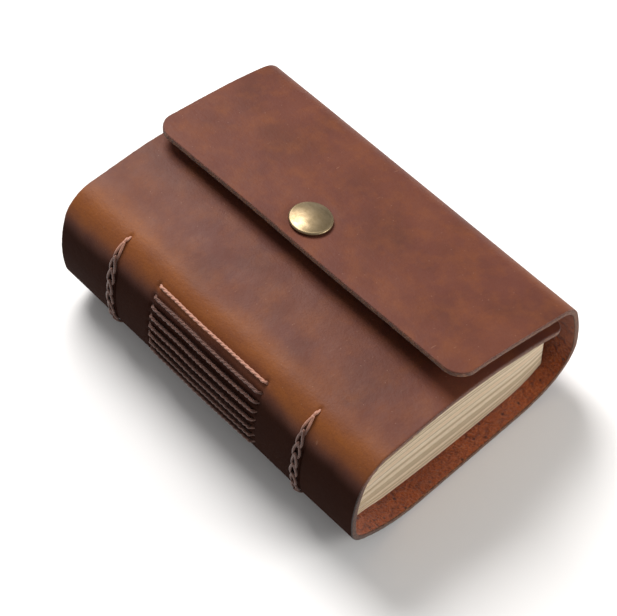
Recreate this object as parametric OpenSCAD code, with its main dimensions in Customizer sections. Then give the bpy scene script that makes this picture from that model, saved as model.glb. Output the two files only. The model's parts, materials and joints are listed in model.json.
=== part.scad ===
// Pocket notebook: eight sewn signatures in one wrapped strip of thick leather.
// X runs across the notebook from the spine to the fore-edge, Y along the spine
// from tail to head, and Z up. The notebook lies shut on its back cover. The
// origin is at the centre of its footprint.
//
// The leather is drawn as a path along its outer face: from the flat of the back
// cover it is walked one way round the spine to the tip of the front cover, and
// the other way round the fore-edge to the free edge of the flap.

/* [Leather] */
// Length of the leather along the spine
cover_l = 120; // [100:1:140]
// Thickness of the leather
leather_t = 1.7; // [1.2:0.1:2.2]
// Flat of the back cover that the notebook lies on
flat_w = 40; // [36:1:44]
// Length of the flap from its fold to its free edge
flap_l = 42; // [36:0.5:46]
// Corner radius of the flap
flap_corner_r = 6; // [2:0.5:10]
// Corner radius of the front cover
cover_corner_r = 4; // [2:0.5:8]

/* [Spine] */
// Radius of the bend from the spine to the front cover
shoulder_r = 11; // [10:0.5:12]

/* [Pages] */
// Length of the pages along the spine
page_l = 108.4; // [96:0.2:110]
// Distance of the page edges from the spine corner
page_x = 77.5; // [74:0.5:77.5]

/* [Sewing] */
// Diameter of the waxed thread
thread_d = 1; // [0.8:0.1:1.1]
// Distance between the two chain stitches
chain_span = 76; // [70:1:90]
// Length of the long stitches on the spine
stitch_l = 43; // [30:0.2:50]
// Width of a chain stitch
chain_w = 2.8; // [2:0.1:3.5]

/* [Snap] */
// Diameter of the snap's domed cap
cap_d = 12.5; // [10:0.1:13]
// Height of the dome
cap_h = 2.2; // [1.6:0.1:2.6]
// Distance of the snap from the flap's free edge
snap_inset = 9; // [8:0.5:14]
// Offset of the snap from the middle of the spine, towards the head
snap_y = 5; // [0:0.5:8]

/* [Hidden] */
$fn = 64;

signatures = 8;
hinge_gap = 0.25;       // left open between two pieces of leather at a fold
page_gap = 0.16;        // between two signatures
block_clear = 0.4;      // between the pages and the leather
arc_step = 3;           // degrees between two points of a bend
chord = 2.5;            // longest distance between two points of a bend
bore_clear = 0.1;       // round a thread or a post in its hole
seat_gap = 0.05;        // between the snap's metal and the leather
braid_gap = 0.02;       // between a stitch and the leather under it
slot_w = 1.4;           // sewing slot in the spine, and notch in a signature's fold
thread_r = thread_d / 2;
hole_r = thread_r + bore_clear;
leg_r = 0.9 * thread_r;

// Bends, as [radius, turn in degrees]; a straight is [length, 0].
underside_bend = [36, 32];
spine_foot = [2.5, 0];
foot_bend = [9, 53];
spine_face = [45, 25];
shoulder_rise = [1.2, 0];
shoulder_low = [shoulder_r, 45];
shoulder_top = [shoulder_r, 25];
cover_flat = [13, 0];
cover_crown = [115, 27.7];
toe_bend = [28, 28];
wrap_bend = [15, 62];
wrap_side = [60, 15];
fold_bend = [9, 58];
flap_crown_r = 330;
flap_crown = [flap_crown_r, flap_l * 180 / PI / flap_crown_r];

// A walk's stations are [x, z, heading]. side is +1 when the bends turn left,
// as on the fore-edge half, and -1 when they turn right, as on the spine half.
function normal_of(s, side) = side * [-sin(s[2]), cos(s[2])];
function centre_of(s, r, side) = [s[0], s[1]] + r * normal_of(s, side);
function turned(s, r, a, side) =
    let (c = centre_of(s, r, side), h = s[2] + side * a)
    concat(c - r * side * [-sin(h), cos(h)], h);
function moved(s, l) = [s[0] + l * cos(s[2]), s[1] + l * sin(s[2]), s[2]];
function step_of(s, seg, side, part) =
    seg[1] == 0 ? moved(s, seg[0] * part) : turned(s, seg[0], seg[1] * part, side);
function bend_l(seg) = seg[0] * seg[1] * PI / 180;
function bend_points(s, seg, side) =
    let (n = seg[1] == 0 ? 1 : ceil(max(seg[1] / arc_step, bend_l(seg) / chord)))
    [for (i = [1:n]) step_of(s, seg, side, i / n)];
function walk(s, segs, side, i = 0) =
    i == len(segs) ? [s] : concat([s], walk(step_of(s, segs[i], side, 1), segs, side, i + 1));
function path(s, segs, side) =
    let (stops = walk(s, segs, side))
    concat([s], [for (i = [0:len(segs) - 1]) each bend_points(stops[i], segs[i], side)]);
// The same path without the hinge gap at its start. Its first segment is a bend.
function gapped_path(s, segs, side) =
    let (first = segs[0], open = hinge_gap / bend_l(first), left = [first[0], first[1] * (1 - open)])
    path(step_of(s, first, side, open), concat([left], [for (i = [1:len(segs) - 1]) segs[i]]), side);
function inset(s, d, side) = [s[0], s[1]] + d * normal_of(s, side);
function inset_station(s, d) = concat(inset(s, d, -1), s[2]);
function strip(stations, side, t = leather_t) = concat(
    [for (s = stations) [s[0], s[1]]],
    [for (i = [len(stations) - 1:-1:0]) inset(stations[i], t, side)]);

// The spine half of the leather, walked from the flat towards the cover's tip.
flat_x = 24;
heel = [flat_x, 0, 180];
spine_segs = [underside_bend, spine_foot, foot_bend, spine_face, shoulder_rise, shoulder_low];
spine_stops = walk(heel, spine_segs, -1);
cover_root = spine_stops[6];
cover_segs = [shoulder_top, cover_flat, cover_crown];
cover_stops = walk(cover_root, cover_segs, -1);

// The fore-edge half, walked from the flat towards the flap's free edge.
toe = [flat_x + flat_w, 0, 0];
wrap_root = step_of(toe, toe_bend, 1, 1);
wrap_segs = [wrap_bend, wrap_side];
wrap_stops = walk(wrap_root, wrap_segs, 1);
flap_root = wrap_stops[2];
flap_segs = [fold_bend, flap_crown];
flap_stops = walk(flap_root, flap_segs, 1);

// The footprint's middle, from the long stitches to the outside of the wrap.
spine_path = path(heel, spine_segs, -1);
wrap_path = path(wrap_root, wrap_segs, 1);
left_x = min([for (s = spine_path) s[0]]) - thread_d;
right_x = max([for (s = wrap_path) s[0]]);
middle_x = (left_x + right_x) / 2;

// The page block, between the inner faces of the back cover and the front cover.
crown = cover_stops[2];
crown_z = crown[1] - leather_t - block_clear;
crown_in_r = cover_crown[0] - leather_t - block_clear;
root_x = 5;
root_top = 35.1;
root_bottom = 7.6;
rest = leather_t + block_clear;
shoulder_sag = (crown_z - root_top) / pow(crown[0] - root_x, 2);
function block_bottom(x) = x < toe[0]
    ? rest + (root_bottom - rest) * pow((toe[0] - x) / (toe[0] - root_x), 2)
    : toe_bend[0] - sqrt(pow(toe_bend[0] - rest, 2) - pow(x - toe[0], 2));
function block_top(x) = x < crown[0]
    ? crown_z - shoulder_sag * pow(crown[0] - x, 2)
    : crown_z - crown_in_r + sqrt(pow(crown_in_r, 2) - pow(x - crown[0], 2));
function level(x, u) = block_bottom(x) + (block_top(x) - block_bottom(x)) * u;

// Each signature turns on its own thread, which lies in the fold.
fold_r = 1.2;
nose_l = 10;            // from the fold to where the sheets lie at full height
braid_low = 7.5;        // height at which the chain stitches start
fold_depth = leather_t + block_clear + fold_r;
face_c = centre_of(spine_stops[3], spine_face[0], -1);
foot_c = centre_of(spine_stops[2], foot_bend[0], -1);
function height_of(k) = level(root_x, (signatures - k + 0.5) / signatures);
function on_circle(c, r, z) = c[0] - sqrt(r * r - pow(z - c[1], 2));
function fold_x(z) = z > spine_stops[3][1]
    ? on_circle(face_c, spine_face[0] - fold_depth, z)
    : on_circle(foot_c, foot_bend[0] - fold_depth, z);
function fold_of(k) = [fold_x(height_of(k)), height_of(k)];
// The long stitch of signature k on the spine's outer face, higher than its fold.
stitch_top = 57.1;      // along the leather from the heel to the top long stitch
stitch_pitch = 3.55;
function seg_l(seg) = seg[1] == 0 ? seg[0] : bend_l(seg);
function station_at(l, i = 0) = l <= seg_l(spine_segs[i])
    ? step_of(spine_stops[i], spine_segs[i], -1, l / seg_l(spine_segs[i]))
    : station_at(l - seg_l(spine_segs[i]), i + 1);
function stitch_at(k) =
    inset(station_at(stitch_top - (k - 1) * stitch_pitch), -thread_r - braid_gap, -1);
function leg_of(k) = stitch_at(k) - fold_of(k);

// The snap's axis, from the flap's outer face down through the front cover.
snap_part = 1 - snap_inset / flap_l;
snap_stop = step_of(flap_stops[1], flap_crown, 1, snap_part);
crown_c = centre_of(crown, cover_crown[0], -1);
snap_gap = norm([snap_stop[0], snap_stop[1]] - crown_c) - cover_crown[0] - leather_t;
snap_tilt = 180 - snap_stop[2];
post_r = 1.9;
post_hole_r = post_r + bore_clear;
socket_d = 11.6;
socket_h = 2.1;
socket_floor = 0.5;
socket_play = 0.15;
stud_base_d = 10;
stud_base_h = 0.7;
stud_short = 0.9;       // from the stud's tip to the flap's inner face
flange_r = 4.5;
flange_h = 0.6;
rim_h = 0.6;
cover_face = -leather_t - snap_gap;
cover_inside = cover_face - leather_t;
block_h = cover_l;      // taller than the shut notebook

module along_y(l) {
    rotate([90, 0, 0])
        translate([0, 0, -l / 2])
            linear_extrude(l) children();
}

module leather(stations, side) {
    along_y(cover_l) polygon(strip(stations, side));
}

module placed() {
    translate([-middle_x, 0, 0]) children();
}

// A block over the plan from x = from to x = to, with round corners at its end.
module round_end(from, to, r) {
    end = to > from ? to - r : to + r;
    linear_extrude(block_h) {
        translate([min(from, end), -cover_l / 2]) square([abs(end - from), cover_l]);
        translate([min(to, end), r - cover_l / 2]) square([r, cover_l - 2 * r]);
        for (y = [-1, 1]) translate([end, y * (cover_l / 2 - r)]) circle(r);
    }
}

module front_cover() {
    stations = gapped_path(cover_root, cover_segs, -1);
    tip = stations[len(stations) - 1];
    color("#7d5748") placed() difference() {
        intersection() {
            leather(stations, -1);
            round_end(0, tip[0], cover_corner_r);
        }
        on_snap(cover_inside - leather_t) cylinder(3 * leather_t, r = post_hole_r);
        on_snap(cover_inside - leather_t) cylinder(leather_t + flange_h, r = flange_r + bore_clear);
    }
}

module thread_holes() {
    for (k = [1:signatures], y = [-1, 1])
        translate([fold_of(k)[0], y * stitch_l / 2, fold_of(k)[1]])
            thread_leg(k, hole_r, norm(leg_of(k)) + leather_t);
}

// The two slots that the chain stitches are sewn through.
module sewing_slots() {
    low = fold_of(signatures)[1];
    high = stitch_at(1)[1] + thread_d;
    for (y = [-1, 1])
        translate([left_x - 1, y * chain_span / 2 - slot_w / 2, low])
            cube([root_x + 1 - left_x, slot_w, high - low]);
}

module spine() {
    color("#3a241b") placed() difference() {
        leather(spine_path, -1);
        thread_holes();
        sewing_slots();
    }
}

module back_cover() {
    stations = path([flat_x, 0, 0], [[flat_w, 0], toe_bend], 1);
    color("#6b4638") placed() leather(stations, 1);
}

module fore_edge_wrap() {
    color("#6e4739") placed() leather(gapped_path(wrap_root, wrap_segs, 1), 1);
}

module flap() {
    stations = gapped_path(flap_root, flap_segs, 1);
    edge = stations[len(stations) - 1];
    color("#855c4b") placed() difference() {
        intersection() {
            leather(stations, 1);
            round_end(right_x + leather_t, edge[0], flap_corner_r);
        }
        on_snap(-2 * leather_t) cylinder(3 * leather_t, r = post_hole_r);
    }
}

// One signature: a folded wad of sheets, thin at its fold and full at its edge.
module signature(k) {
    f = fold_of(k);
    u_low = (signatures - k) / signatures;
    u_high = (signatures - k + 1) / signatures;
    start = f[0] + nose_l;
    steps = 24;
    xs = [for (i = [0:steps]) start + (page_x - start) * i / steps];
    top = [for (x = xs) [x, level(x, u_high) - page_gap / 2]];
    bottom = [for (x = xs) [x, level(x, u_low) + page_gap / 2]];
    nose = [for (a = [270:-10:90]) f + fold_r * [cos(a), sin(a)]];
    color(k % 2 == 0 ? "#cdbd9c" : "#d8c9aa") placed() difference() {
        along_y(page_l) polygon(concat(top, [for (i = [steps:-1:0]) bottom[i]], nose));
        translate([f[0], 0, f[1]]) rotate([90, 0, 0]) cylinder(cover_l, r = hole_r, center = true);
        for (y = [-1, 1], s = [chain_span, stitch_l])
            translate([f[0] - 2 * fold_r, y * s / 2 - slot_w / 2, f[1] - 2 * fold_r])
                cube([2 * fold_r + thread_d, slot_w, 4 * fold_r]);
    }
}

// A straight thread from a signature's fold out through the leather.
module thread_leg(k, r, l) {
    leg = leg_of(k);
    rotate([0, atan2(leg[0], leg[1]), 0]) cylinder(l, r = r);
}

// One signature's thread: two runs inside the fold and one long stitch outside.
module one_thread(k) {
    f = fold_of(k);
    leg = leg_of(k);
    run = (chain_span - stitch_l) / 2 + thread_d;
    translate([f[0], 0, f[1]]) {
        for (y = [-1, 1]) {
            translate([0, y * (chain_span + stitch_l) / 4, 0])
                rotate([90, 0, 0]) cylinder(run, r = thread_r, center = true);
            for (s = [chain_span, stitch_l])
                translate([0, y * s / 2, 0]) thread_leg(k, leg_r, norm(leg));
        }
        translate([leg[0], 0, leg[1]])
            rotate([90, 0, 0]) cylinder(stitch_l + thread_d, r = thread_r, center = true);
    }
}

module sewing_thread() {
    color("#7c4a38") placed() for (k = [1:signatures]) one_thread(k);
}

// A chain stitch lies on the spine as a flat braid of its own thickness.
module chain_stitch(y) {
    stations = path(spine_stops[2], [foot_bend, spine_face, shoulder_rise, shoulder_low], -1);
    outside = [for (s = stations) if (s[1] > braid_low) inset_station(s, -thread_d)];
    color("#7c4a38") placed() translate([0, y, 0])
        along_y(chain_w) polygon(strip(outside, -1, thread_d - braid_gap));
}

// Puts its children on the snap's axis, h above the flap's outer face.
module on_snap(h) {
    translate([snap_stop[0], snap_y, snap_stop[1]])
        rotate([0, snap_tilt, 0])
            translate([0, 0, h]) children();
}

// A disc with a domed top.
module dome(d, h) {
    ball_r = (d * d / 4 + h * h) / (2 * h);
    intersection() {
        translate([0, 0, h - ball_r]) sphere(ball_r, $fn = 96);
        cylinder(h + 1, d = d);
    }
}

module snap_cap() {
    color("#8a6a46") placed() {
        on_snap(seat_gap) cylinder(rim_h, d = cap_d);
        on_snap(rim_h) dome(cap_d, cap_h - rim_h);
        on_snap(-leather_t) cylinder(leather_t + rim_h, r = post_r);
    }
}

module snap_socket() {
    color("#7a5f41") placed() on_snap(-leather_t - seat_gap) mirror([0, 0, 1]) difference() {
        cylinder(socket_h, d = socket_d);
        translate([0, 0, socket_floor]) cylinder(socket_h, r = post_r + socket_play);
    }
}

module snap_stud() {
    color("#7a5f41") placed() on_snap(cover_face + seat_gap) {
        cylinder(stud_base_h, d = stud_base_d);
        cylinder(snap_gap - stud_short, r = post_r);
    }
}

module snap_post() {
    color("#8a6a46") placed() on_snap(cover_inside) {
        cylinder(flange_h - seat_gap, r = flange_r);
        cylinder(leather_t, r = post_r);
    }
}

front_cover();
spine();
back_cover();
fore_edge_wrap();
flap();
for (k = [1:8]) signature(k);
sewing_thread();
chain_stitch(chain_span / 2);  // chain_stitch_head
chain_stitch(-chain_span / 2);  // chain_stitch_tail
snap_cap();
snap_socket();
snap_stud();
snap_post();
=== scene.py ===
"""Looks for the pocket notebook: one wrapped strip of oiled leather, eight sewn signatures of
paper, waxed thread and an antique brass snap.

The leather follows the same bends as the CAD nodes. s is the distance along its outer face from
the heel, the point of the underside where the spine half meets the back cover's flat: negative
round the spine to the front cover's tip, positive round the fore-edge to the flap's free edge.
"""

import json
import math

import bpy
import numpy as np
from mathutils import Matrix, Vector, noise


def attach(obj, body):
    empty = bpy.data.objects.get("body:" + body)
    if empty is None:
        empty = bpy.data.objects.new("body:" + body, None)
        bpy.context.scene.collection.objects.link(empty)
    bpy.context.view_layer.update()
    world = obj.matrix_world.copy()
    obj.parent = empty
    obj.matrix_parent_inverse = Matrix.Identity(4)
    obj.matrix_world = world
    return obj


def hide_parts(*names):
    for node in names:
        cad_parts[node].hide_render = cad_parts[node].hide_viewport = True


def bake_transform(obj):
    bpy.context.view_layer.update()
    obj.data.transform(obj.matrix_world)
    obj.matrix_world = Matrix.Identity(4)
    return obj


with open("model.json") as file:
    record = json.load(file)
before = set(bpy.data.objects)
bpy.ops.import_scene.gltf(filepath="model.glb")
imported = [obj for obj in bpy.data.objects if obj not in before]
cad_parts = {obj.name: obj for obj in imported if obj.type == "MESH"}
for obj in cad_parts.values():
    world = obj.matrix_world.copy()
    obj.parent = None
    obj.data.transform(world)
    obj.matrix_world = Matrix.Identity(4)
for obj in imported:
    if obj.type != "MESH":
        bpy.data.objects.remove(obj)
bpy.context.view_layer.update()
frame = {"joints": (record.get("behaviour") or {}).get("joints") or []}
MM = 0.001
HINGES = {j["name"]: Vector(j["pos_m"]) for j in frame["joints"]}
BACK, WRAP, FLAP, FRONT = "back_cover", "fore_edge_wrap", "flap", "front_cover"
SIGNATURES = 8

# ---------------------------------------------------------------- the section

# Bends as (radius, degrees) and straights as (length, 0), in millimetres.
LEATHER_T = 1.7
BLOCK_CLEAR = 0.4
FOOT_R, FACE_R, SHOULDER_R, CROWN_R = 9, 45, 11, 115
SPINE_BENDS = [(36, 32), (2.5, 0), (FOOT_R, 53), (FACE_R, 25), (1.2, 0), (SHOULDER_R, 45)]
COVER_BENDS = [(SHOULDER_R, 25), (13, 0), (CROWN_R, 27.7)]
FLAT_W, TOE_R = 40, 28
UNDER_BENDS = [(FLAT_W, 0), (TOE_R, 28)]
WRAP_BENDS = [(15, 62), (60, 15)]
FLAP_L, FLAP_R = 42, 330
FLAP_BENDS = [(9, 58), (FLAP_R, math.degrees(FLAP_L / FLAP_R))]
HEEL_X = 24
SNAP_INSET = 9
SNAP_Y = 5


class Path:
    """A path of bends in the XZ plane. side is +1 where the bends turn left and -1 where right."""

    def __init__(self, start, bends, side):
        self.side = side
        self.bends = bends
        self.stops = [np.array(start, float)]
        self.ends = [0.0]
        for bend in bends:
            length = bend[0] * math.radians(bend[1]) if bend[1] else bend[0]
            self.stops.append(self.step(self.stops[-1], bend, length))
            self.ends.append(self.ends[-1] + length)
        self.length = self.ends[-1]

    def normal(self, heading):
        """From the outer face into the leather."""
        return self.side * np.array([-np.sin(heading), np.cos(heading)])

    def step(self, stop, bend, length):
        x, z, h = stop
        if not bend[1]:
            return np.array([x + length * math.cos(h), z + length * math.sin(h), h])
        turned = h + self.side * length / bend[0]
        moved = np.array([x, z]) + bend[0] * (self.normal(h) - self.normal(turned))
        return np.array([moved[0], moved[1], turned])

    def stop_at(self, length):
        i = min(int(np.searchsorted(self.ends, length, side="right")) - 1, len(self.bends) - 1)
        return self.step(self.stops[i], self.bends[i], length - self.ends[i])

    def centre(self, i):
        """The centre of bend i."""
        return self.stops[i][:2] + self.bends[i][0] * self.normal(self.stops[i][2])


spine_path = Path((HEEL_X, 0, math.pi), SPINE_BENDS + COVER_BENDS, -1)
fore_path = Path((HEEL_X, 0, 0), UNDER_BENDS + WRAP_BENDS + FLAP_BENDS, 1)
COVER_ROOT = len(SPINE_BENDS)
WRAP_ROOT = len(UNDER_BENDS)
FLAP_ROOT = WRAP_ROOT + len(WRAP_BENDS)
MIDDLE_X = spine_path.stops[COVER_ROOT][0] - HINGES["front_cover_hinge"].x / MM


def row(x, y, z):
    """A point of the section's own frame, in millimetres, as a point of the row frame."""
    return Vector(((x - MIDDLE_X) * MM, y * MM, z * MM))


# ---------------------------------------------------------------- meshes

def mesh_object(name, points, faces, materials, smooth=True):
    mesh = bpy.data.meshes.new(name)
    mesh.from_pydata([tuple(p) for p in points], [], faces)
    for material in materials:
        mesh.materials.append(material)
    piece = bpy.data.objects.new(name, mesh)
    bpy.context.scene.collection.objects.link(piece)
    if smooth:
        mesh.polygons.foreach_set("use_smooth", [True] * len(mesh.polygons))
    mesh.update()
    return piece


def add_points_attribute(piece, name, values):
    made = piece.data.attributes.new(name, "FLOAT_VECTOR", "POINT")
    made.data.foreach_set("vector", np.asarray(values, np.float32).ravel())


def wave(x, y, seed, size):
    """Smooth noise from -1 to 1 whose features are about size across."""
    return noise.noise(Vector((x / size, y / size, seed * 7.31)))


def smoothstep(low, high, x):
    t = np.clip((np.asarray(x, float) - low) / (high - low), 0, 1)
    return t * t * (3 - 2 * t)


def bump(x, middle, width):
    return np.exp(-(((np.asarray(x, float) - middle) / width) ** 2))


def tube(rings_at, radius, sides=10):
    """Points and faces of a closed tube. rings_at is an array of centres, radius one per centre."""
    centres = np.asarray(rings_at, float)
    n = len(centres)
    radii = np.broadcast_to(radius, n)
    tangents = np.gradient(centres, axis=0)
    tangents /= np.linalg.norm(tangents, axis=1)[:, None]
    side = np.cross(tangents[0], [0.3, 0.2, 1.0])
    points = []
    for c, t, r in zip(centres, tangents, radii):
        side = side - t * (side @ t)
        side /= np.linalg.norm(side)
        up = np.cross(t, side)
        for a in range(sides):
            angle = 2 * math.pi * a / sides
            points.append(c + r * (math.cos(angle) * side + math.sin(angle) * up))
    faces = []
    for i in range(n - 1):
        for a in range(sides):
            b = (a + 1) % sides
            faces.append((i * sides + a, i * sides + b, (i + 1) * sides + b, (i + 1) * sides + a))
    faces.append(tuple(range(sides))[::-1])
    faces.append(tuple((n - 1) * sides + a for a in range(sides)))
    return points, faces


def loop_tube(centres, radius, up_vectors, sides=8):
    """Points and faces of a ring-shaped tube through centres, which close on themselves."""
    centres = np.asarray(centres, float)
    n = len(centres)
    tangents = np.roll(centres, -1, axis=0) - np.roll(centres, 1, axis=0)
    tangents /= np.linalg.norm(tangents, axis=1)[:, None]
    points = []
    for c, t, u in zip(centres, tangents, up_vectors):
        side = np.cross(t, u)
        side /= np.linalg.norm(side)
        up = np.cross(side, t)
        for a in range(sides):
            angle = 2 * math.pi * a / sides
            points.append(c + radius * (math.cos(angle) * side + math.sin(angle) * up))
    faces = []
    for i in range(n):
        j = (i + 1) % n
        for a in range(sides):
            b = (a + 1) % sides
            faces.append((i * sides + a, i * sides + b, j * sides + b, j * sides + a))
    return points, faces


def gathered(parts):
    """Several (points, faces) as one."""
    points, faces = [], []
    for some_points, some_faces in parts:
        base = len(points)
        points.extend(some_points)
        faces.extend(tuple(i + base for i in f) for f in some_faces)
    return points, faces


# ---------------------------------------------------------------- materials

class Look:
    """A new material with a Principled shader, and short calls for the nodes in front of it."""

    def __init__(self, name, roughness, **fixed):
        self.material = bpy.data.materials.new(name)
        self.material.use_nodes = True
        self.tree = self.material.node_tree
        self.shader = self.tree.nodes["Principled BSDF"]
        self.shader.inputs["Roughness"].default_value = roughness
        for socket, value in fixed.items():
            self.shader.inputs[socket.replace("_", " ")].default_value = value

    def node(self, kind, **values):
        made = self.tree.nodes.new(kind)
        for key, value in values.items():
            setattr(made, key, value)
        return made

    def put(self, socket, value):
        if hasattr(value, "is_output"):
            self.tree.links.new(value, socket)
        else:
            socket.default_value = value

    def attribute(self, name):
        return self.node("ShaderNodeAttribute", attribute_name=name).outputs["Vector"]

    def parts(self, vector):
        made = self.node("ShaderNodeSeparateXYZ")
        self.put(made.inputs[0], vector)
        return made.outputs

    def math(self, operation, a, b=0.0):
        made = self.node("ShaderNodeMath", operation=operation)
        self.put(made.inputs[0], a)
        self.put(made.inputs[1], b)
        return made.outputs[0]

    def scaled(self, vector, scale):
        made = self.node("ShaderNodeMapping")
        self.put(made.inputs["Vector"], vector)
        made.inputs["Scale"].default_value = scale
        return made.outputs[0]

    def noise(self, vector, scale, detail=3.0, roughness=0.55, distortion=0.0):
        made = self.node("ShaderNodeTexNoise")
        self.put(made.inputs["Vector"], vector)
        made.inputs["Scale"].default_value = scale
        made.inputs["Detail"].default_value = detail
        made.inputs["Roughness"].default_value = roughness
        made.inputs["Distortion"].default_value = distortion
        return made.outputs["Fac"]

    def cells(self, vector, scale, feature="F1"):
        made = self.node("ShaderNodeTexVoronoi", feature=feature)
        self.put(made.inputs["Vector"], vector)
        made.inputs["Scale"].default_value = scale
        return made.outputs["Distance"]

    def ramp(self, value, *stops):
        """stops are (position, colour or grey)."""
        made = self.node("ShaderNodeValToRGB")
        self.put(made.inputs[0], value)
        elements = made.color_ramp.elements
        while len(elements) < len(stops):
            elements.new(0.5)
        for element, (position, colour) in zip(elements, stops):
            grey = not hasattr(colour, "__len__")
            element.position = position
            element.color = (colour, colour, colour, 1) if grey else (*colour, 1)
        return made.outputs["Color"]

    def mix(self, factor, a, b, blend="MIX"):
        made = self.node("ShaderNodeMix", data_type="RGBA", blend_type=blend)
        self.put(made.inputs["Factor"], factor)
        for socket, value in ((made.inputs[6], a), (made.inputs[7], b)):
            self.put(socket, value if hasattr(value, "is_output") else (*value, 1))
        return made.outputs[2]

    def colour(self, value):
        self.put(self.shader.inputs["Base Color"], value)

    def roughness(self, value):
        self.put(self.shader.inputs["Roughness"], value)

    def bumps(self, *layers):
        """layers are (height, strength, distance), the broadest first."""
        normal = None
        for height, strength, distance in layers:
            made = self.node("ShaderNodeBump")
            made.inputs["Strength"].default_value = strength
            made.inputs["Distance"].default_value = distance
            self.put(made.inputs["Height"], height)
            if normal:
                self.put(made.inputs["Normal"], normal)
            normal = made.outputs[0]
        self.put(self.shader.inputs["Normal"], normal)


PLUM = (0.102, 0.030, 0.020)
PLUM_DEEP = (0.078, 0.023, 0.015)
PLUM_PALE = (0.124, 0.040, 0.025)
# TAN is the leather's pulled-up colour, and on the spine's shoulder it also paints a highlight.
TAN = (0.215, 0.066, 0.014)
# Painted shade: the spine face's colour, near black for the shade it lies in.
SPINE_PAINTED_SHADE = (0.016, 0.0042, 0.0016)
FIBRE = (0.46, 0.20, 0.075)
FIBRE_DARK = (0.055, 0.016, 0.008)
SUEDE = (0.48, 0.100, 0.018)
SUEDE_DARK = (0.085, 0.012, 0.004)


def grain_colour(look, place, zones):
    """Oiled leather: mottled plum brown, tan where the oil is pushed out, which on the spine's shoulder is
    partly a painted highlight, and painted shade on the spine face.
    """
    pull_up_and_highlight, painted_spine_shade, _ = zones
    cloud = look.noise(place, 42, 4, 0.55)
    patch = look.noise(place, 150, 5, 0.6)
    base = look.ramp(cloud, (0.32, PLUM_DEEP), (0.52, PLUM), (0.72, PLUM_PALE))
    base = look.mix(look.ramp(patch, (0.45, 0.0), (0.75, 0.35)), base, TAN)
    streak = look.noise(look.scaled(place, (1.0, 0.35, 1.0)), 260, 6, 0.65)
    # Pull-up tan, which on the spine's shoulder is also a painted highlight.
    pull_up_and_highlight_mask = look.math("MULTIPLY", pull_up_and_highlight, look.ramp(streak, (0.25, 0.55), (0.65, 1.0)))
    base = look.mix(pull_up_and_highlight_mask, base, TAN)
    fine = look.noise(place, 1500, 3, 0.6)
    base = look.mix(look.ramp(fine, (0.3, 0.22), (0.6, 0.0)), base, PLUM_DEEP)
    nicks = look.noise(look.scaled(place, (0.25, 1.6, 1.0)), 700, 2, 0.5, 0.6)
    base = look.mix(look.ramp(nicks, (0.735, 0.0), (0.80, 0.35)), base, (0.36, 0.18, 0.11))
    dust = look.cells(place, 420)
    base = look.mix(look.ramp(dust, (0.035, 0.30), (0.07, 0.0)), base, (0.40, 0.24, 0.17))
    # Painted shade: the spine face is mixed to near black.
    return look.mix(painted_spine_shade, base, SPINE_PAINTED_SHADE)


def grain_look():
    look = Look("leather_grain", 0.5, Specular_IOR_Level=0.18)
    place = look.attribute("strip")
    zones = look.parts(look.attribute("zones"))
    look.colour(grain_colour(look, place, zones))
    smudge = look.noise(place, 90, 4, 0.6)
    gloss = look.ramp(smudge, (0.3, 0.50), (0.7, 0.60))
    look.roughness(look.mix(zones[1], gloss, (0.85, 0.85, 0.85)))
    specular = look.math("ADD", look.math("MULTIPLY", zones[1], -0.14), 0.18)
    look.put(look.shader.inputs["Specular IOR Level"], specular)
    pores = look.cells(place, 2100, "SMOOTH_F1")
    wrinkles = look.noise(look.scaled(place, (1.0, 0.6, 1.0)), 900, 5, 0.6)
    creases = look.noise(place, 160, 5, 0.6)
    look.bumps((creases, 0.35, 0.0006), (wrinkles, 0.35, 0.00022), (pores, 0.22, 0.00010))
    return look.material


def edge_look():
    look = Look("leather_edge", 0.9, Sheen_Weight=0.3, Specular_IOR_Level=0.15)
    place = look.attribute("strip")
    depth = look.parts(place)[2]
    zones = look.parts(look.attribute("zones"))
    fibres = look.noise(look.scaled(place, (1.0, 1.0, 3.5)), 1900, 5, 0.7)
    lumps = look.noise(place, 700, 3, 0.6)
    raw = look.ramp(fibres, (0.36, FIBRE_DARK), (0.50, (0.15, 0.046, 0.017)), (0.62, FIBRE))
    raw = look.mix(look.ramp(lumps, (0.35, 0.65), (0.6, 0.0)), raw, FIBRE_DARK)
    # Painted shade: the cut edge along the spine face is darkened halfway to the spine's painted shade.
    raw = look.mix(look.math("MULTIPLY", zones[1], 0.5), raw, SPINE_PAINTED_SHADE)
    skin = look.ramp(look.math("MULTIPLY", depth, 1000.0), (0.12, 1.0), (0.40, 0.0))
    look.colour(look.mix(skin, raw, grain_colour(look, place, zones)))
    look.bumps((fibres, 0.9, 0.0005), (lumps, 0.5, 0.0005))
    return look.material


def suede_look():
    look = Look("leather_suede", 0.95, Sheen_Weight=0.35, Specular_IOR_Level=0.1)
    place = look.attribute("strip")
    nap = look.noise(place, 1300, 6, 0.75)
    tufts = look.noise(place, 420, 5, 0.7, 0.8)
    clouds = look.noise(place, 70, 3, 0.5)
    base = look.ramp(nap, (0.30, SUEDE_DARK), (0.50, SUEDE), (0.74, (0.58, 0.20, 0.07)))
    base = look.mix(look.ramp(tufts, (0.34, 0.75), (0.50, 0.0)), base, SUEDE_DARK)
    base = look.mix(look.ramp(clouds, (0.40, 0.0), (0.70, 0.45)), base, (0.34, 0.085, 0.030))
    pits = look.cells(place, 330)
    base = look.mix(look.ramp(pits, (0.10, 0.85), (0.20, 0.0)), base, (0.045, 0.006, 0.003))
    look.colour(base)
    look.bumps((tufts, 1.0, 0.0012), (nap, 0.9, 0.0006))
    return look.material


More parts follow.
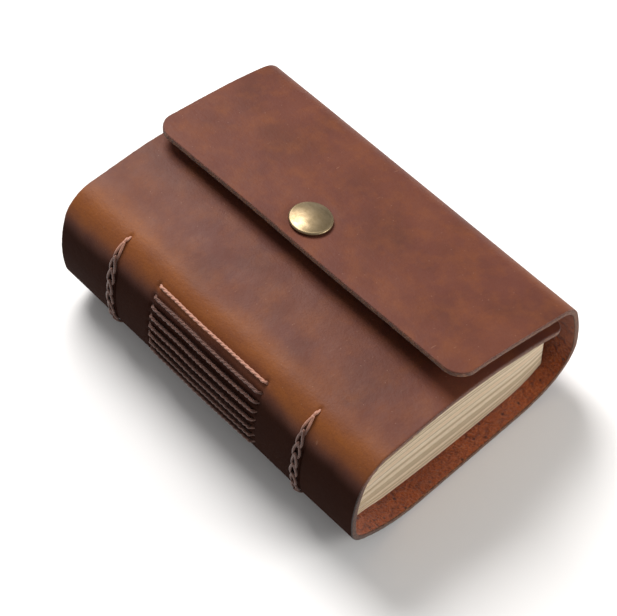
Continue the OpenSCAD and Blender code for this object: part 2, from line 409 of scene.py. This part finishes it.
def paper_look():
    look = Look("paper_cream", 0.9, Specular_IOR_Level=0.2)
    place = look.attribute("strip")
    tone, end_darkening, _ = look.parts(look.attribute("zones"))
    pulp = look.noise(place, 900, 4, 0.6)
    cloud = look.noise(place, 60, 3, 0.5)
    base = look.ramp(
        tone, (0.0, (0.44, 0.34, 0.225)), (0.5, (0.80, 0.635, 0.46)), (1.0, (0.88, 0.78, 0.62)))
    base = look.mix(look.ramp(pulp, (0.35, 0.25), (0.6, 0.0)), base, (0.44, 0.36, 0.24))
    base = look.mix(look.ramp(cloud, (0.4, 0.0), (0.7, 0.2)), base, (0.60, 0.48, 0.30))
    # Darker at the sheets' head and tail ends, on the darker sheets only.
    look.colour(look.mix(end_darkening, base, (0.42, 0.33, 0.20)))
    look.bumps((pulp, 0.25, 0.0001))
    return look.material


def thread_look():
    look = Look("waxed_thread", 0.5, Sheen_Weight=0.2, Specular_IOR_Level=0.4)
    place = look.node("ShaderNodeTexCoord").outputs["Object"]
    fuzz = look.noise(place, 2600, 4, 0.7)
    stain = look.noise(place, 160, 3, 0.5)
    base = look.ramp(
        fuzz, (0.3, (0.060, 0.020, 0.011)), (0.55, (0.13, 0.050, 0.030)), (0.8, (0.30, 0.13, 0.085)))
    base = look.mix(look.ramp(stain, (0.4, 0.5), (0.6, 0.0)), base, (0.075, 0.024, 0.014))
    # Painted highlight: thread more than 37 mm up is lightened to a pale tan.
    height = look.math("MULTIPLY", look.parts(place)[2], 1000 / 50)  # as a share of 50 mm
    look.colour(look.mix(look.ramp(height, (0.74, 0.0), (0.78, 0.75)), base, (0.52, 0.25, 0.17)))
    look.bumps((fuzz, 0.5, 0.00012))
    return look.material


def brass_look():
    look = Look("antique_brass", 0.3, Metallic=1.0)
    place = look.node("ShaderNodeTexCoord").outputs["Object"]
    tarnish = look.noise(place, 380, 5, 0.65)
    grime = look.parts(look.attribute("zones"))[0]
    brush = look.noise(look.scaled(place, (1.0, 0.12, 1.0)), 1500, 3, 0.6)
    base = look.ramp(tarnish, (0.30, (0.18, 0.136, 0.078)), (0.60, (0.29, 0.222, 0.135)))
    base = look.mix(look.ramp(brush, (0.4, 0.25), (0.6, 0.0)), base, (0.19, 0.135, 0.06))
    look.colour(look.mix(grime, base, (0.035, 0.020, 0.010)))
    look.roughness(look.ramp(tarnish, (0.3, 0.48), (0.7, 0.38)))
    look.bumps((tarnish, 0.12, 0.0002), (brush, 0.06, 0.0001))
    return look.material


GRAIN, EDGE, SUEDE_SIDE = grain_look(), edge_look(), suede_look()
PAPER, THREAD, BRASS = paper_look(), thread_look(), brass_look()

# ---------------------------------------------------------------- leather

COVER_L = 120
BEVEL = 0.32
RIM = [(0.5, 0.134), (0.134, 0.5), (0.0, 1.0)]  # inset and depth round the bevel, in bevels
STITCH_Y = 21.5
CHAIN_Y = 38
CHAIN_W = 2.8
THREAD_R = 0.5


def station_lengths(start, end, step):
    return list(np.linspace(start, end, max(2, round((end - start) / step) + 1)))


def spine_lines(fine):
    """Y of the lines along the leather, in millimetres: close together where the sewing is."""
    marks = []
    for centre in (STITCH_Y, CHAIN_Y):
        marks += [centre + d for d in np.arange(-2.4, 2.41, 0.3)] if fine else []
    grid = [y for y in np.arange(0, COVER_L / 2 - BEVEL, 1.6) if all(abs(y - m) > 0.9 for m in marks)]
    half = sorted(grid + marks + [COVER_L / 2 - BEVEL - 0.6])
    return np.array(sorted({round(s * y, 4) for y in half + [COVER_L / 2 - BEVEL] for s in (-1, 1)}))


def leather_piece(name, path, sign, start, end, step, lines, corner_start, corner_end, raised, zones):
    """A stretch of the strip. A corner radius of 0 is a seam, where the next piece goes on.

    raised(s, y) is how far the outer face stands out of the path, in millimetres, and
    zones(s, y) the three looks values of a point.
    """
    lengths = station_lengths(start + corner_start, end - corner_end, step)
    halves = [COVER_L / 2 - BEVEL] * len(lengths)
    for corner, at_end in ((corner_start, False), (corner_end, True)):
        if not corner:
            continue
        for a in np.radians(np.linspace(0, 90, 15))[1:]:
            along = (corner - BEVEL) * math.sin(a)
            half = COVER_L / 2 - corner + (corner - BEVEL) * math.cos(a)
            lengths = lengths + [end - corner + along] if at_end else [start + corner - along] + lengths
            halves = halves + [half] if at_end else [half] + halves
    rows_n, lines_n = len(lengths), len(lines)
    share = lines / (COVER_L / 2 - BEVEL)
    flat = np.array([[(l, h * v) for v in share] for l, h in zip(lengths, halves)])
    loop = [(0, j) for j in range(lines_n)]
    loop += [(i, lines_n - 1) for i in range(1, rows_n)]
    loop += [(rows_n - 1, j) for j in range(lines_n - 2, -1, -1)]
    loop += [(i, 0) for i in range(rows_n - 2, 0, -1)]
    rim = np.array([flat[i, j] for i, j in loop])
    along_loop = np.roll(rim, -1, axis=0) - np.roll(rim, 1, axis=0)
    outward = np.stack([along_loop[:, 1], -along_loop[:, 0]], axis=1)
    outward /= np.linalg.norm(outward, axis=1)[:, None]
    if outward[lines_n + rows_n // 2] @ [0, 1] < 0:
        outward = -outward
    for n, (i, j) in enumerate(loop):
        at_seam = (i == 0 and not corner_start) or (i == rows_n - 1 and not corner_end)
        if at_seam:
            outward[n] = (0, (j == lines_n - 1) * 1.0 - (j == 0) * 1.0)

    points, strip, looks = [], [], []

    def add(length, y, depth):
        x, z, h = path.stop_at(length)
        n = path.normal(h)
        s = sign * length
        lift = raised(s, y) * (1 - 0.75 * depth / LEATHER_T) if depth else raised(s, y)
        sheet = whole_lift(s, y)
        d = depth - lift - sheet
        points.append(row(x + d * n[0], y, z + d * n[1]))
        strip.append((s * MM, y * MM, depth * MM))
        looks.append(zones(s, y))

    for depth in (0.0, LEATHER_T):
        for i in range(rows_n):
            for j in range(lines_n):
                add(flat[i, j, 0], flat[i, j, 1], depth)
    rings = [(BEVEL * a, BEVEL * b) for a, b in RIM]
    rings += [(0.0, LEATHER_T / 2)]
    rings += [(BEVEL * a, LEATHER_T - BEVEL * b) for a, b in reversed(RIM)]
    for k, (inset, depth) in enumerate(rings):
        for n, p in enumerate(rim):
            rough = 0.10 * wave(p[0], p[1] * 1.3, 3 + k, 0.9) if np.abs(outward[n]).sum() else 0.0
            q = p + outward[n] * (BEVEL - inset + rough)
            add(q[0], q[1], depth)

    faces, kinds = [], []
    flip = sign < 0

    def face(corners, kind):
        faces.append(tuple(reversed(corners)) if flip else tuple(corners))
        kinds.append(kind)

    grid_n = rows_n * lines_n
    for side, kind in ((0, 0), (1, 2)):
        for i in range(rows_n - 1):
            for j in range(lines_n - 1):
                a = side * grid_n + i * lines_n + j
                quad = (a, a + 1, a + lines_n + 1, a + lines_n)
                face(quad[::-1] if side else quad, kind)
    loop_n = len(loop)
    top = [i * lines_n + j for i, j in loop]
    bottom = [grid_n + i * lines_n + j for i, j in loop]
    bands = [top]
    bands += [[2 * grid_n + k * loop_n + n for n in range(loop_n)] for k in range(len(rings))]
    bands += [bottom]
    for upper, lower in zip(bands, bands[1:]):
        for n in range(loop_n):
            m = (n + 1) % loop_n
            face((upper[m], upper[n], lower[n], lower[m]), 1)
    piece = mesh_object(name, points, faces, [GRAIN, EDGE, SUEDE_SIDE])
    piece.data.polygons.foreach_set("material_index", kinds)
    piece.data.set_sharp_from_angle(angle=math.radians(50))
    add_points_attribute(piece, "strip", strip)
    add_points_attribute(piece, "zones", looks)
    return piece


WRAP_MIDDLE = (fore_path.ends[WRAP_ROOT] + fore_path.ends[FLAP_ROOT]) / 2
FREE_EDGE = fore_path.length
SNAP_S = fore_path.length - SNAP_INSET
TIP_S = -spine_path.length
SHOULDER_S = -spine_path.ends[COVER_ROOT]
FACE_LOW_S, FACE_HIGH_S = -spine_path.ends[3], -spine_path.ends[4]


def whole_lift(s, y):
    """How far both faces of the leather stand out of the path: the flap's free edge isn't level,
    lifted at its tail corner and lower at its head corner, the cover's tip rises towards the flap at
    the tail, and the leather waves a little."""
    lift = 0.22 * wave(s, y, 1, 34)
    if s > fore_path.ends[FLAP_ROOT]:
        near_edge = float(smoothstep(FREE_EDGE - 40, FREE_EDGE, s))
        lift += near_edge * (1.5 * float(smoothstep(5, -60, y)) - 1.3 * float(smoothstep(10, 60, y)))
    lift += 1.2 * float(smoothstep(TIP_S + 26, TIP_S, s)) * float(smoothstep(20, -50, y))
    return lift * min(1.0, abs(s) / 12)


def fold_pits(s, y):
    """The outer face's small shapes on the spine: a pit at each sewing hole, a slit beside each
    chain stitch, and the press of the threads."""
    if not FACE_HIGH_S - 14 < s < FACE_LOW_S + 12:
        return 0.0
    down = 0.0
    near = abs(abs(y) - STITCH_Y)
    if near < 3:
        for t in STITCH_S:
            down += 0.75 * math.exp(-((s - t) ** 2 + near**2) / 0.55)
    slit = y + CHAIN_W / 2 + 0.25 - (CHAIN_Y if y > 0 else -CHAIN_Y)
    if abs(slit) < 1.5:
        reach = float(smoothstep(CHAIN_TOP_S + 8, CHAIN_TOP_S + 13, s))
        down += 0.8 * reach * math.exp(-((slit / 0.28) ** 2))
    between = abs(y) < STITCH_Y
    if between:
        edge = float(smoothstep(STITCH_Y, STITCH_Y - 3, abs(y)))
        down += 0.16 * edge * sum(math.exp(-(((s - t) / 0.8) ** 2)) for t in STITCH_S)
    top = math.hypot(s - CHAIN_TOP_S + 0.9, abs(y) - CHAIN_Y)
    down += 0.7 * math.exp(-((top / 0.6) ** 2))
    return -down


def snap_press(s, y):
    away = math.hypot(s - SNAP_S, y - SNAP_Y)
    return -0.22 * float(smoothstep(9.5, 6.0, away))


def zones_of(s, y):
    """Pull-up tan, partly a painted highlight on the spine's shoulder, and painted shade on the spine face,
    each of a point from 0 to 1, and a 0 that fills the vector.
    """
    ragged = 3.2 * wave(s, y, 11, 16) + 1.2 * wave(s, y, 12, 5)
    along = s - SHOULDER_S + ragged
    # Pull-up tan at the spine's shoulder, partly a painted highlight.
    pull_up_and_highlight = 0.95 * float(bump(along, 0.5, 6.0))
    pull_up_and_highlight += 0.38 * float(smoothstep(0, 1, wave(s, y, 13, 22))) * float(bump(along, -14, 16))
    fold = fore_path.ends[FLAP_ROOT] + 4
    pull_up_and_highlight += 0.45 * float(bump(s + 0.6 * ragged, fold, 4)) * float(smoothstep(-20, -60, y))
    pull_up_and_highlight += 0.10 * (1 + wave(s, y, 14, 12))
    # Painted shade over the spine face, from just past the shoulder down.
    in_spine = s - SHOULDER_S + 0.6 * ragged
    painted_spine_shade = 0.93 * float(smoothstep(4.0, 12.0, in_spine)) * float(smoothstep(0, -22, s))
    return (min(pull_up_and_highlight * (1 - painted_spine_shade), 1.0), painted_spine_shade, 0.0)


# ---------------------------------------------------------------- where the sewing is

ROOT_X, ROOT_TOP, ROOT_BOTTOM = 5, 35.1, 7.6
REST = LEATHER_T + BLOCK_CLEAR
TOE_X = HEEL_X + FLAT_W
PAGE_X, PAGE_L, FOLD_R, NOSE_L, PAGE_GAP = 77.5, 108.4, 1.2, 10, 0.16
crown = spine_path.stops[COVER_ROOT + 2]
CROWN_Z = crown[1] - LEATHER_T - BLOCK_CLEAR
CROWN_IN_R = CROWN_R - LEATHER_T - BLOCK_CLEAR
SHOULDER_SAG = (CROWN_Z - ROOT_TOP) / (crown[0] - ROOT_X) ** 2
FOLD_DEPTH = LEATHER_T + BLOCK_CLEAR + FOLD_R


def block_bottom(x):
    if x < TOE_X:
        return REST + (ROOT_BOTTOM - REST) * ((TOE_X - x) / (TOE_X - ROOT_X)) ** 2
    return TOE_R - math.sqrt((TOE_R - REST) ** 2 - (x - TOE_X) ** 2)


def block_top(x):
    if x < crown[0]:
        return CROWN_Z - SHOULDER_SAG * (crown[0] - x) ** 2
    return CROWN_Z - CROWN_IN_R + math.sqrt(CROWN_IN_R**2 - (x - crown[0]) ** 2)


def level(x, u):
    return block_bottom(x) + (block_top(x) - block_bottom(x)) * u


def fold_of(k):
    """The fold of signature k in the section."""
    z = level(ROOT_X, (SIGNATURES - k + 0.5) / SIGNATURES)
    on_face = z > spine_path.stops[3][1]
    bend = 3 if on_face else 2
    centre, radius = spine_path.centre(bend), spine_path.bends[bend][0]
    return np.array([centre[0] - math.sqrt((radius - FOLD_DEPTH) ** 2 - (z - centre[1]) ** 2), z])


FOLDS = {k: fold_of(k) for k in range(1, SIGNATURES + 1)}
STITCH_TOP, STITCH_PITCH = 57.1, 3.55
STITCH_S = [(k - 1) * STITCH_PITCH - STITCH_TOP for k in FOLDS]
BRAID_LOW = 7.5
CHAIN_TOP_S = SHOULDER_S
CHAIN_LOW_S = -next(l for l in np.arange(0, spine_path.length, 0.1) if spine_path.stop_at(l)[1] > BRAID_LOW)


def on_spine(s, y, out):
    """A point out millimetres off the outer face, in the row frame."""
    x, z, h = spine_path.stop_at(-s)
    n = spine_path.normal(h)
    return np.array(row(x - out * n[0], y, z - out * n[1]))


def away_from_spine(s):
    n = spine_path.normal(spine_path.stop_at(-s)[2])
    return np.array([-n[0], 0, -n[1]])


# ---------------------------------------------------------------- the leather's three pieces

COVER_CORNER, FLAP_CORNER = 4, 6


def cover_and_spine():
    piece = leather_piece(
        "leather_cover_and_spine", spine_path, -1, 0, spine_path.length, 0.8, spine_lines(True),
        0, COVER_CORNER, fold_pits, zones_of)
    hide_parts("front_cover", "spine")
    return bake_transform(piece)


def back_and_wrap():
    piece = leather_piece(
        "leather_back_and_wrap", fore_path, 1, 0, WRAP_MIDDLE, 1.0, spine_lines(False),
        0, 0, lambda s, y: 0.0, zones_of)
    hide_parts("back_cover", "fore_edge_wrap")
    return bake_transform(piece)


def wrap_and_flap():
    piece = leather_piece(
        "leather_wrap_and_flap", fore_path, 1, WRAP_MIDDLE, fore_path.length, 0.8, spine_lines(False),
        0, FLAP_CORNER, snap_press, zones_of)
    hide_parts("flap")
    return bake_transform(piece)


# ---------------------------------------------------------------- the pages

SHEETS = 6
SHEET_T = 0.19
PAPER_LINES = [-1, -0.985, -0.93, -0.8, -0.6, -0.3, 0, 0.3, 0.6, 0.8, 0.93, 0.985, 1]


def leaf_points(k, leaf, fold, nose_side, xs):
    """z of one leaf of signature k at each x. nose_side is -1 for a lower leaf and +1 for an upper."""
    u_low = (SIGNATURES - k) / SIGNATURES
    u_high = u_low + 1 / SIGNATURES
    leaves = 2 * SHEETS
    sheet = leaf if nose_side < 0 else leaves - 1 - leaf
    nose_z = fold[1] + nose_side * FOLD_R * (1 - (sheet + 0.6) / SHEETS)
    heights = []
    for x in xs:
        low, high = level(x, u_low) + PAGE_GAP / 2, level(x, u_high) - PAGE_GAP / 2
        full = low + (high - low) * (leaf + 0.5) / leaves
        t = float(smoothstep(0, NOSE_L, x - fold[0]))
        heights.append(nose_z + (full - nose_z) * t)
    return heights


def sheet_of(k, sheet, fold):
    """One folded sheet of signature k as points, faces and looks values."""
    seed = 20 * k + sheet
    near_fold = fold[0] + NOSE_L * np.linspace(0, 1, 6)[:-1]
    xs = np.concatenate([near_fold, np.linspace(fold[0] + NOSE_L, PAGE_X, 16)])
    trim = 0.12 * wave(seed, 0, 5, 1.7)
    longer = 0.15 if k == SIGNATURES else 0.0
    xs = xs + (xs - fold[0]) / (PAGE_X - fold[0]) * (trim + longer)
    lower = leaf_points(k, sheet, fold, -1, xs)
    upper = leaf_points(k, 2 * SHEETS - 1 - sheet, fold, 1, xs)
    r = (upper[0] - lower[0]) / 2
    turn = np.radians(np.linspace(-90, -270, 7))[1:-1]
    nose = [(fold[0] + r * math.cos(a), (upper[0] + lower[0]) / 2 + r * math.sin(a)) for a in turn]
    line = [(x, z) for x, z in zip(xs[::-1], lower[::-1])] + nose + [(x, z) for x, z in zip(xs, upper)]
    line = np.array(line)
    tangent = np.gradient(line, axis=0)
    tangent /= np.linalg.norm(tangent, axis=1)[:, None]
    normal = np.stack([-tangent[:, 1], tangent[:, 0]], axis=1)
    half = PAGE_L / 2 + 0.10 * wave(seed, 3, 6, 1.3)
    n_line, n_across = len(line), len(PAPER_LINES)
    points, strip, looks = [], [], []
    tone = 0.5 + 0.75 * wave(seed * 3.7, 1, 7, 2.0)
    if sheet == 0:
        tone += 0.30
    for face_side in (-1, 1):
        for i, (p, n) in enumerate(zip(line, normal)):
            upper_leaf = i > n_line / 2
            index = 2 * SHEETS - 1 - sheet if upper_leaf else sheet
            depth_in_block = (SIGNATURES - k) * 2 * SHEETS + index
            free = float(smoothstep(0, 30, p[0] - fold[0]))
            for v in PAPER_LINES:
                y = v * half
                end = abs(v) ** 8
                ripple = 0.05 * wave(p[0], y * 0.5, 40 + index * 0.05, 26) * free
                ripple += 0.04 * wave(depth_in_block * 2.3, p[0] * 0.02, 9 + (v > 0), 1.0) * free
                droop = 0.0
                if k == SIGNATURES and not upper_leaf:
                    corner = float(smoothstep(PAGE_X - 22, PAGE_X + 1, p[0]))
                    corner *= float(smoothstep(-25, -54, y))
                    droop = -0.25 * corner * (1 - sheet / SHEETS)
                q = p + n * face_side * SHEET_T / 2
                points.append(row(q[0], y, q[1] + ripple + droop))
                strip.append((p[0] * MM, y * MM, depth_in_block * 2 * MM))
                # The second value darkens the head and tail ends of the darker sheets.
                looks.append((min(max(tone, 0), 1), 0.35 * end * (tone < 0.4), 0))
    faces = []
    grid_n = n_line * n_across
    for face_side in (0, 1):
        for i in range(n_line - 1):
            for j in range(n_across - 1):
                a = face_side * grid_n + i * n_across + j
                quad = (a, a + 1, a + n_across + 1, a + n_across)
                faces.append(quad if face_side else quad[::-1])
    loop = [(0, j) for j in range(n_across)]
    loop += [(i, n_across - 1) for i in range(1, n_line)]
    loop += [(n_line - 1, j) for j in range(n_across - 2, -1, -1)]
    loop += [(i, 0) for i in range(n_line - 2, 0, -1)]
    ring = [i * n_across + j for i, j in loop]
    for n, a in enumerate(ring):
        b = ring[(n + 1) % len(ring)]
        faces.append((a, b, b + grid_n, a + grid_n))
    return points, faces, strip, looks


def signature(k):
    """One signature: folded sheets, one inside the other."""
    fold = FOLDS[k]
    points, faces, strip, looks = [], [], [], []
    for sheet in range(SHEETS):
        p, f, s, l = sheet_of(k, sheet, fold)
        faces.extend(tuple(i + len(points) for i in corners) for corners in f)
        points.extend(p)
        strip.extend(s)
        looks.extend(l)
    piece = mesh_object(f"signature_{k}_sheets", points, faces, [PAPER])
    piece.data.set_sharp_from_angle(angle=math.radians(40))
    add_points_attribute(piece, "strip", strip)
    add_points_attribute(piece, "zones", looks)
    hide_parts(f"signature_{k}")
    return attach(piece, BACK if k == SIGNATURES else f"signature_{k}")


# ---------------------------------------------------------------- the sewing

PLIES, PLY_R, PLY_OFF, LAY = 2, 0.33, 0.17, 3.4


def twisted(centres, ups, seed=0):
    """Plies of thread wound round a line. centres are metres apart, ups point off the leather."""
    centres, ups = np.asarray(centres), np.asarray(ups)
    steps = np.linalg.norm(np.diff(centres, axis=0), axis=1)
    run = np.concatenate([[0], np.cumsum(steps)]) / MM
    tangents = np.gradient(centres, axis=0)
    tangents /= np.linalg.norm(tangents, axis=1)[:, None]
    sides = np.cross(tangents, ups)
    sides /= np.linalg.norm(sides, axis=1)[:, None]
    tops = np.cross(sides, tangents)
    parts = []
    for ply in range(PLIES):
        angle = 2 * math.pi * ((run + 0.5 * np.sin(run / 3.1 + seed)) / LAY + ply / PLIES)
        off = PLY_OFF * MM * (np.cos(angle)[:, None] * sides + np.sin(angle)[:, None] * tops)
        thick = PLY_R * (1 + 0.14 * np.array([wave(r, ply * 9.0, seed, 2.3) for r in run]))
        parts.append(tube(centres + off, thick * MM, 8))
    return gathered(parts)


def long_stitch(k):
    """A twisted thread that dips into the spine at both ends."""
    s = STITCH_S[k - 1]
    ys = np.linspace(-STITCH_Y - 0.5, STITCH_Y + 0.5, 150)
    centres, ups = [], []
    for y in ys:
        inside = float(smoothstep(STITCH_Y - 1.1, STITCH_Y + 0.5, abs(y)))
        slack = 0.25 * math.cos(y / STITCH_Y * math.pi / 2) * (1 + 0.5 * wave(k, y, 31, 9))
        out = THREAD_R + max(slack, 0) - 1.7 * inside
        stray = 0.5 * wave(y, k * 5.0, 33, 17) * (1 - (y / STITCH_Y) ** 4)
        centres.append(on_spine(s + stray, y, out))
        ups.append(away_from_spine(s))
    return twisted(centres, ups, k)


def sewing():
    piece = mesh_object("long_stitches", *gathered([long_stitch(k) for k in FOLDS]), [THREAD])
    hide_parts("sewing_thread")
    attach(piece, BACK)


def chain(name, node, y0, seed):
    """Links that each hook over the point of the next one, from the top hole to the foot."""
    pitch = (CHAIN_LOW_S - CHAIN_TOP_S - 2.0) / SIGNATURES
    parts = []
    for i in range(SIGNATURES):
        top = CHAIN_TOP_S + 1.2 + i * pitch
        length = pitch * 1.42
        wide = CHAIN_W / 2 - 0.15 + 0.12 * wave(i, seed, 2, 1.1)
        wide *= 0.62 if i == 0 else 1.0
        centres, ups = [], []
        for a in np.linspace(0, 2 * math.pi, 41)[:-1]:
            along = (1 - math.cos(a)) / 2
            across = wide * math.sin(a) * abs(math.sin(a / 2)) ** 0.9
            out = 0.28 + 0.50 * (1 - along) ** 1.2 + 0.12 * math.sin(a) * (-1) ** i
            s = top + length * along
            skew = 0.10 * wave(i * 3.1, a, seed, 1.5)
            centres.append(on_spine(s, y0 + across + skew, out))
            ups.append(away_from_spine(s))
        parts.append(loop_tube(centres, 0.40 * MM, ups))
    entry = []
    for t in np.linspace(0, 1, 14):
        out = -1.0 + 1.6 * math.sin(math.pi * min(t * 0.75 + 0.05, 1))
        entry.append(on_spine(CHAIN_TOP_S - 1.2 + t * 3.4, y0 + 0.2 * t, out))
    parts.append(twisted(entry, [away_from_spine(CHAIN_TOP_S)] * len(entry)))
    piece = mesh_object(name, *gathered(parts), [THREAD])
    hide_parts(node)
    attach(piece, BACK)


# ---------------------------------------------------------------- the snap

snap_stop = fore_path.stop_at(SNAP_S)
SNAP_TILT = math.pi - snap_stop[2]
crown_centre = spine_path.centre(COVER_ROOT + 2)
SNAP_GAP = math.dist(snap_stop[:2], crown_centre) - CROWN_R - LEATHER_T
COVER_FACE = -LEATHER_T - SNAP_GAP
snap_place = Matrix.Translation(row(snap_stop[0], SNAP_Y, snap_stop[1]))
snap_place = snap_place @ Matrix.Rotation(SNAP_TILT, 4, "Y")
SEGMENTS = 96


def turned(name, profile, node, body):
    """A piece turned on the snap's axis. profile is (radius, height, grime), from axis to axis."""
    points, looks, faces = [], [], []
    for r, h, grime in profile[1:-1]:
        for a in range(SEGMENTS):
            angle = 2 * math.pi * a / SEGMENTS
            points.append(snap_place @ Vector((r * math.cos(angle) * MM, r * math.sin(angle) * MM, h * MM)))
            looks.append((grime, 0, 0))
    rings = len(profile) - 2
    for i in range(rings - 1):
        low, high = i * SEGMENTS, (i + 1) * SEGMENTS
        for a in range(SEGMENTS):
            b = (a + 1) % SEGMENTS
            faces.append((low + a, high + a, high + b, low + b))
    for end, ring in ((profile[0], 0), (profile[-1], rings - 1)):
        points.append(snap_place @ Vector((0, 0, end[1] * MM)))
        looks.append((end[2], 0, 0))
        tip = len(points) - 1
        for a in range(SEGMENTS):
            b = (a + 1) % SEGMENTS
            spoke = (tip, ring * SEGMENTS + a, ring * SEGMENTS + b)
            faces.append(spoke if ring == 0 else spoke[::-1])
    piece = mesh_object(name, points, faces, [BRASS])
    piece.data.set_sharp_from_angle(angle=math.radians(50))
    add_points_attribute(piece, "zones", looks)
    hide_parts(node)
    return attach(piece, body)


def cap():
    top = 2.0
    dome = [(r, top - 0.95 * (r / 5.7) ** 2.2, 0.0) for r in np.linspace(0, 5.7, 26)]
    roll = [(5.55 + 0.70 * math.sin(a), 0.52 + 0.56 * math.cos(a), 0.0 if a < 1.9 else 0.7)
            for a in np.radians(np.linspace(18, 170, 14))]
    under = [(5.2, 0.02, 0.9), (2.0, 0.02, 1.0), (1.9, -LEATHER_T, 0.5), (0, -LEATHER_T, 0.5)]
    turned("snap_cap_dome", dome + roll + under, "snap_cap", FLAP)


def socket():
    """A sprung ring round a well, on the flap's inner face."""
    top = -LEATHER_T - 0.05
    profile = [(0, top - 0.5, 0.6), (1.0, top - 0.5, 0.6), (2.0, top - 0.55, 0.7), (2.05, top - 1.7, 0.5)]
    profile += [(2.35 + 0.35 * math.cos(a), top - 1.75 - 0.35 * math.sin(a), 0.1)
                for a in np.radians(np.linspace(180, 0, 9))]
    profile += [(2.85, top - 1.35, 0.6), (3.4, top - 1.15, 0.5), (4.2, top - 1.1, 0.1)]
    profile += [(4.9, top - 1.15, 0.0)]
    profile += [(5.25 + 0.45 * math.sin(a), top - 0.75 - 0.45 * math.cos(a), 0.0)
                for a in np.radians(np.linspace(0, 110, 8))]
    profile += [(5.6, top - 0.1, 0.6), (5.2, top, 0.8), (0, top, 0.8)]
    turned("snap_socket_ring", profile[::-1], "snap_socket", FLAP)


def stud():
    """A waisted stud on a dished base, on the front cover's outer face."""
    base = COVER_FACE + 0.05
    tip = base + SNAP_GAP - 0.9
    profile = [(0, tip - 0.25, 0.5), (0.6, tip - 0.2, 0.4), (1.1, tip - 0.02, 0.1), (1.55, tip - 0.05, 0.0)]
    profile += [(1.88, tip - 0.45, 0.0), (1.88, tip - 0.8, 0.1), (1.6, tip - 1.3, 0.5)]
    profile += [(1.6, tip - 2.4, 0.5), (1.9, base + 0.95, 0.6), (2.4, base + 0.7, 0.4)]
    profile += [(3.6, base + 0.62, 0.1), (4.5, base + 0.6, 0.0)]
    profile += [(4.85, base + 0.5, 0.0), (5.0, base + 0.25, 0.1), (4.9, base + 0.02, 0.7), (0, base, 0.8)]
    turned("snap_stud_post", profile, "snap_stud", FRONT)


def post():
    """The riveted flange, sunk in the front cover's inner face."""
    face = COVER_FACE - LEATHER_T
    profile = [(0, COVER_FACE, 0.5), (1.85, COVER_FACE, 0.5), (1.85, face + 0.55, 0.6)]
    profile += [(4.3, face + 0.55, 0.6)]
    profile += [(4.5, face + 0.4, 0.3), (4.5, face + 0.2, 0.1), (4.3, face + 0.03, 0.0), (3.0, face, 0.0)]
    profile += [(1.6, face + 0.06, 0.2), (1.2, face + 0.22, 0.5), (0, face + 0.25, 0.6)]
    turned("snap_post_flange", profile, "snap_post", FRONT)


# ---------------------------------------------------------------- stage, camera and light

def stage():
    size = 3.0
    corners = [(-size, -size, 0), (size, -size, 0), (size, size, 0), (-size, size, 0)]
    look = Look("pale_floor", 0.8, Specular_IOR_Level=0.1)
    place = look.node("ShaderNodeTexCoord").outputs["Object"]
    look.colour(look.ramp(look.noise(place, 3, 2), (0.3, 0.86), (0.7, 0.88)))
    floor = mesh_object("floor", corners, [(0, 1, 2, 3)], [look.material], smooth=False)


def camera():
    """The photograph's viewing angle: from the spine's side and the tail, well above."""
    right = Vector((0.7328, -0.6802, -0.0185))
    up = Vector((0.5725, 0.6016, 0.5571))
    back = right.cross(up).normalized()
    data = bpy.data.cameras.new("camera")
    data.sensor_width = 36
    data.lens = 110.9
    data.clip_start = 0.01
    made = bpy.data.objects.new("camera", data)
    turn = Matrix((right, back.cross(right), back)).transposed()
    made.matrix_world = Matrix.Translation(Vector((-0.19998, -0.22486, 0.46112))) @ turn.to_4x4()
    bpy.context.scene.collection.objects.link(made)
    bpy.context.scene.camera = made


def area_light(name, place, target, size, watts, colour=(1, 1, 1)):
    data = bpy.data.lights.new(name, "AREA")
    data.shape = "RECTANGLE"
    data.size, data.size_y = size
    data.energy = watts
    data.color = colour
    lamp = bpy.data.objects.new(name, data)
    lamp.location = place
    lamp.rotation_mode = "QUATERNION"
    lamp.rotation_quaternion = (Vector(target) - Vector(place)).to_track_quat("-Z", "Y")
    bpy.context.scene.collection.objects.link(lamp)


def lights():
    target = (0, 0, 0.03)
    area_light("overhead", (0.20, 0.50, 0.72), target, (0.45, 0.45), 10.5, (1.0, 0.97, 0.95))
    area_light("tail_side", (0.45, -0.60, 0.35), target, (0.4, 0.3), 3.0, (1.0, 0.98, 0.95))
    world = bpy.data.worlds.new("studio")
    world.use_nodes = True
    world.node_tree.nodes["Background"].inputs["Color"].default_value = (1.0, 0.99, 0.98, 1)
    world.node_tree.nodes["Background"].inputs["Strength"].default_value = 0.38
    bpy.context.scene.world = world


# ---------------------------------------------------------------- the notebook

bpy.context.scene.view_settings.view_transform = "Standard"
camera()
lights()
stage()
cover_and_spine()
back_and_wrap()
wrap_and_flap()
for number in FOLDS:
    signature(number)
sewing()
chain("chain_stitch_head_links", "chain_stitch_head", CHAIN_Y, 1)
chain("chain_stitch_tail_links", "chain_stitch_tail", -CHAIN_Y, 2)
cap()
socket()
stud()
post()
